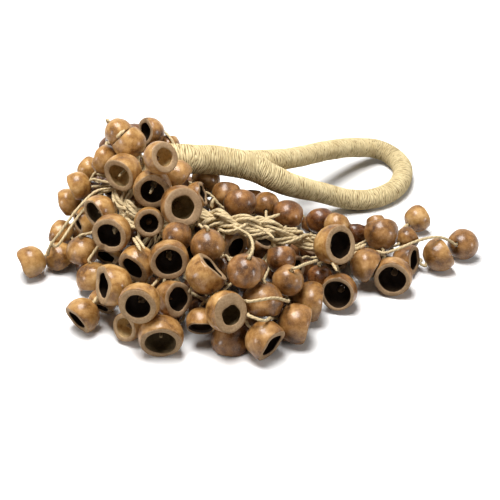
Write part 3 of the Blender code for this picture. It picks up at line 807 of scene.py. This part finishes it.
# Strings whose way shows, by the number of their shell
LOW_BRANCH = ((168, 245, 41), (172, 265, 30), (180, 283, 26), (190, 291, 26), (209, 301, 27))
LED = {
    11: ((106, 188, 60), (93, 192, 62), (75, 211, 52), (60, 232, 38), (50, 245, 28)),
    12: ((108, 190, 56), (96, 195, 59), (79, 214, 49), (66, 233, 38), (57, 246, 30)),
    30: ((366, 255, 20), (382, 253, 26), (400, 247, 29), (417, 240, 30), (437, 236, 30), (451, 241, 22)),
    36: (*LOW_BRANCH, (228, 304, 28), (243, 302, 40), (260, 299, 45), (276, 297, 42), (288, 301, 32)),
    37: (*LOW_BRANCH, (228, 307, 29), (241, 311, 33), (253, 316, 36), (265, 320, 33)),
    38: (*LOW_BRANCH, (226, 308, 26), (240, 312, 27), (246, 320, 24)),
    39: (*LOW_BRANCH, (220, 309, 24)),
    41: ((250, 252, 24), (243, 268, 26), (233, 280, 38), (220, 291, 41), (209, 298, 34)),
    43: ((332, 249, 27), (317, 258, 37), (304, 263, 46), (296, 268, 50)),
    45: ((240, 228, 54), (249, 233, 57), (253, 243, 58), (251, 255, 58)),
    48: ((188, 216, 47), (197, 221, 54), (204, 228, 63)),
}

loop_points = place_all(LOOP)
loop_points[:, 2] = np.maximum(loop_points[:, 2], LEG_RADIUS + 0.0002)
handle = smooth(np.concatenate([place_all(STEM), loop_points]), 0.0002)
handle_run = along(handle)
taper = [np.linalg.norm(handle - place(*point), axis=1).argmin() for point in TAPER]
handle_radius = np.interp(handle_run, handle_run[taper], [STEM_RADIUS, LEG_RADIUS])
trunk = smooth(place_all(TRUNK), TRUNK_STEP)
trunk_run = along(trunk)
trunk_radius = np.interp(trunk_run, [trunk_run[-1] - TRUNK_TAPER, trunk_run[-1]], TRUNK_RADII)
TRUNK_FREE = int(np.linalg.norm(trunk - place(*STEM_MOUTH), axis=1).argmin())

# What the shells of the photograph have of their own, by their number: the shape of the cut, painted
# light inside the hollow, length of the string's tail, how much paler they are, and how much painted shade
# darkens the knot inside
TRAITS = {
    4: dict(mouth=0.55), 5: dict(lean=(0.05, -0.05)), 10: dict(mouth=0.72), 14: dict(notch=-2.0),
    16: dict(corners=9), 17: dict(mouth=0.54), 26: dict(corners=8, mouth=0.64), 33: dict(mouth=0.70),
    35: dict(mouth=0.72), 40: dict(mouth=0.50, lean=(0.06, -0.20)), 41: dict(mouth=0.80),
    49: dict(mouth=0.66), 52: dict(mouth=0.58), 57: dict(mouth=0.70),
}
# Painted light in the hollow of some shells, by number
PAINTED_CAVITY_LIGHT = {4: 1.0, 5: 0.8, 10: 0.05, 17: 0.4, 40: 0.25, 56: 0.9, 57: 0.15}
TAIL = {5: 0.009, 14: 0.001, 15: 0.011, 49: 0.007, 54: 0.003, 57: 0.008}
PALER = {2: 0.1, 5: 0.1, 25: 0.6, 26: 0.5, 29: 0.2, 33: 0.2, 34: 0.35, 36: 0.35, 37: 0.4, 38: 0.6,
         40: 0.5, 42: 0.3, 43: 0.3, 47: 0.35, 49: 0.1}
# Painted shade on the string and knot inside the hollow, by shell number; the usual amount follows
PAINTED_KNOT_SHADE = {5: 0.0, 14: 0.2, 15: 0.1, 49: 0.5, 57: 0.4}
USUAL_TAIL = 0.002
USUAL_PAINTED_KNOT_SHADE = 0.93
# Shells deep in the heap take a tint past red brown, which paints shade on them
DEEP_TINT_AND_PAINTED_SHADE = 1.2
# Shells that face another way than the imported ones, which were read more coarsely: clock angle and
# angle from the eye
TURNED = {10: (212, 54), 35: (225, 24), 41: (270, 64), 52: (182, 62), 55: (222, 68), 57: (272, 44)}

# More shells that show between the others: column, row, size per usual width, the way each faces,
# and for one how much nearer it lies than its neighbours
BETWEEN = (
    (168, 147, 0.80, 100, 125), (83, 221, 0.80, 200, 70), (60, 233, 0.80, 160, 105),
    (206, 179, 0.90, 90, 130), (221, 205, 0.72, 40, 70, 0.020), (311.5, 224, 0.62, 90, 125),
    (376, 223, 0.58, 100, 120), (285.5, 296, 0.80, 60, 95), (232, 245, 0.90, 330, 50),
    (177, 236, 0.85, 90, 130), (108, 261, 0.85, 250, 60), (103, 316, 0.80, 250, 70),
    (281, 258, 0.85, 90, 120), (261, 244, 0.85, 60, 60), (334, 271, 0.80, 250, 60),
    (224, 268, 0.75, 90, 120), (130, 200, 0.85, 60, 120), (76, 237, 0.66, 200, 110),
    (190, 177, 0.70, 90, 130), (253, 198, 0.60, 90, 120), (118, 303, 0.62, 250, 60),
    (247, 322, 0.62, 270, 100),
)
# Two rounds of deep shells: seed, and least and greatest radius per usual width
DEEP_ROUNDS = ((11, 0.33, 0.50), (12, 0.26, 0.34))


def shell_piece(name, middle, face, radius, number, deep=False, node=(), **trait):
    """A shell, coarser where it lies deep in the heap, and there darkened with painted shade."""
    local, zone = nut_grid(radius, number, **trait)
    if deep:
        local, zone = local[::2, ::2], zone[::2]
    upright = "notch" in trait or "lean" in trait
    first, second = nut_axes(face, 0.0 if upright else number * 0.7)
    grid = middle + local[..., :1] * first + local[..., 1:2] * second + local[..., 2:] * face
    column = picture(middle)[0]
    tint = 0.08 + 0.75 * np.clip((column - 120) / 130, 0, 1) - 0.40 * np.clip((column - 370) / 50, 0, 1)
    tint = tint + np.random.default_rng(number).normal() * 0.13 - PALER.get(number, 0.0)
    return mesh_piece(name, grid, shell_look, "nutshell", closed=True, node=node, zone=zone,
                      tint=DEEP_TINT_AND_PAINTED_SHADE if deep else np.clip(tint, 0, 1), glow=PAINTED_CAVITY_LIGHT.get(number, 0.0))


shells = joined((np.zeros((0, 3)), np.zeros((0, 3)), np.zeros(0)),
                [cad_nut(f"nut_{number:02d}") for number in range(1, OWN_SHELLS + 1)])
every = slice(None, None, 20)
led = np.concatenate([smooth(place_all(points), ROUTE_STEP) for points in LED.values()])
tubes = (np.concatenate([handle[every], trunk[::3], led]),
         np.concatenate([handle_radius[every], trunk_radius[::3], np.full(len(led), LED_ROOM)]))

column, row, depth = picture(shells[0])
spots, ways, sizes = [], [], []
for c, r, size, turn, away, *nearer in BETWEEN:
    near = np.argsort(np.hypot(column - c, row - r), kind="stable")[:3]
    ray = unit(place(c, r, 50) + LINE)
    spots.append(-LINE + ray * ((depth[near].mean() - sum(nearer)) / (ray @ LINE)))
    ways.append(facing(turn, away))
    sizes.append(size * NUT_WIDTH / 2)
shells = joined(shells, slip_clear(spots, ways, sizes, shells, tubes))
shown = len(shells[0])
for seed, small, large in DEEP_ROUNDS:
    shells = joined(shells, fill_heap(shells, tubes, seed, small, large))

# Strings keep clear of the handle too, as a row of balls whose faces point nowhere
solids = (np.concatenate([shells[0], handle[every]]), np.concatenate([shells[1], 0 * handle[every]]),
          np.concatenate([shells[2], handle_radius[every]]))
string_look = twine_finish("string_twine", (0.74, 0.60, 0.36), (0.34, 0.235, 0.115))
shell_look = nutshell_finish()
cords = []
for number, (middle, face, radius) in enumerate(zip(*shells), start=1):
    own = number <= OWN_SHELLS
    if number in TURNED:
        face = facing(*TURNED[number])
    middle = middle + UP * max(0.0, reach(-UP, face, radius) + CLEAR - middle[2])
    piece = shell_piece(f"shell_{number:03d}", middle, face, radius, number, deep=number > shown,
                        node=(f"nut_{number:02d}",) if own else (), **TRAITS.get(number, {}))
    via = place_all(LED[number]) if number in LED else ()
    route = string_way(middle, face, radius, solids, trunk, via, number, len(BOWS) if own else 4)
    string, path = string_piece(f"string_{number:03d}", route, middle, face, radius,
                                TAIL.get(number, USUAL_TAIL), number, PAINTED_KNOT_SHADE.get(number, USUAL_PAINTED_KNOT_SHADE))
    if own:
        cords.append((along(path)[-1], string, path, piece))
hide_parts("cord_bundle")


def plaited(path, run, bundles=3, strands=6):
    """Cords of a loose plait. A bundle swings across by a sine of its turn and in depth by a sine
    of twice that, and its strands turn about its own middle."""
    tangent = unit(np.gradient(path, axis=0))
    side = unit(np.cross(tangent, LINE))
    over = np.cross(side, tangent)
    grow = np.interp(run, [0, run[-1] - 0.06, run[-1]], [1.0, 1.0, 0.45])
    ways = []
    for bundle in range(bundles):
        turn = 2 * math.pi * (run / PLAIT_LENGTH + bundle / bundles) + 0.35 * ripple(bundle + 20, run * 25)
        across, deep = PLAIT_SWING * grow * np.sin(turn), PLAIT_SWING / 2 * grow * np.sin(2 * turn)
        middle = path + side * across[:, None] + over * deep[:, None]
        for strand in range(strands):
            seed = bundle * 9 + strand
            spin = 2 * math.pi * (run / BUNDLE_LENGTH + strand / strands) + 0.7 * ripple(seed, run * 30)
            wide = BUNDLE_SWING * grow * (1 + 0.22 * ripple(seed + 60, run * 35))
            aside, ahead = wide * np.cos(spin), wide * np.sin(spin)
            ways.append(middle + side * aside[:, None] + over * ahead[:, None])
    return ways


for number, way in enumerate(plaited(trunk, trunk_run)):
    # Each cord ends a little before the one made earlier
    length = round(len(way) * (1 - 0.014 * number))
    path = smooth(way[:length:4], TRUNK_STEP)
    grid, chart = twisted(path, TRUNK_CORD_WIDTH / 2, number + 300, 1.0)
    mesh_piece(f"trunk_cord_{number:02d}", grid, string_look, "cord", node=("cord_bundle",),
               chart=chart, tint=0.0)

# Loose ends and splinters that show: points, and thickness in millimetres
LOOSE_ENDS = (
    (((345, 252, 24), (352, 250, 27), (359, 248, 30), (366, 244, 33)), 3.2),
    (((262, 220, 54), (272, 217, 56), (280, 214, 57)), 2.6),
    (((255, 226, 57), (264, 230, 58), (274, 238, 58)), 2.2),
    (((212, 208, 54), (212, 203, 58), (215, 198, 61)), 2.4),
    (((100, 296, 22), (96, 299, 22), (91, 306, 21)), 2.6),
    (((117, 138, 92), (120, 134, 95), (125, 130, 97)), 2.8),
    (((136, 237, 54), (140, 242, 57), (145, 249, 58)), 2.2),
    (((133, 238, 54), (137, 244, 57), (141, 251, 58)), 2.2),
    (((331, 262, 34), (334, 266, 36), (337, 271, 36)), 2.2),
    (((408, 224, 12), (405, 227, 10), (402, 229, 8)), 2.2),
)
for number, (points, thick) in enumerate(LOOSE_ENDS):
    path = smooth(place_all(points), STRING_STEP)
    run = along(path) / along(path)[-1]
    fray = np.clip(8 * run + 0.4, 0, 1) * np.clip(4 * (1 - run) + 0.3, 0, 1)
    fray = fray * (1 + 0.12 * ripple(number + 700, run * 20))
    grid, chart = twisted(path, thick / 2000, number + 700, fray)
    mesh_piece(f"loose_end_{number:02d}", grid, string_look, "cord", chart=chart, tint=0.0)


def wound(path, radius, seed):
    """Twine wound around a tube: its radius is that of the tube with a bulge over each row, the 0.7th
    power of half a sine wave. The row number grows along the tube and falls by one in each turn
    around it."""
    run = along(path)
    around = np.linspace(0, 1, WINDING_SIDES, endpoint=False)
    angle = 2 * math.pi * around - math.pi / 2
    turn = 2 * math.pi * around[None, :]
    tangent, side, other = frames(path, LINE)
    wobble = 0.35 * ripple(seed, run[:, None] * 160, turn, waves=9, low=0, high=3)
    wobble = wobble + 0.5 * ripple(seed + 1, run * 40)[:, None] * np.cos(angle - 0.6)[None, :]
    wobble = wobble + 0.14 * ripple(seed + 3, run[:, None] * 500, turn, waves=9, low=2, high=6)
    row_number = run[:, None] / TWINE_PITCH + wobble
    height = np.abs(np.sin(math.pi * (row_number - around[None, :]))) ** 0.7
    bulge = 1 + 0.012 * ripple(seed + 2, run[:, None] * 60, turn, low=0)
    r = radius[:, None] * bulge + TWINE_HEIGHT * (height - 0.75)
    return rings(path, side, other, angle, r), (around, run * 1000), row_number


winding_look = twine_finish("winding_twine", (0.84, 0.71, 0.42), (0.31, 0.205, 0.075), wound=True)
fine = smooth(handle[::10], WINDING_STEP)
fine_run = along(fine)
fine_radius = np.interp(fine_run, handle_run * fine_run[-1] / handle_run[-1], handle_radius)
split = np.searchsorted(fine_run, WINDING_SPLIT)
for name, part in (("winding_near", slice(0, split + 1)), ("winding_far", slice(split, None))):
    grid, chart, row_number = wound(fine[part], fine_radius[part], 5)
    mesh_piece(name, grid, winding_look, "winding", node=("handle_winding",), chart=chart, tint=0.0,
               row_number=row_number)

cords.sort(key=lambda cord: -cord[0])
for length, string, path, piece in cords[:DECLARED_CORDS]:
    length >= SHORTEST_CORD
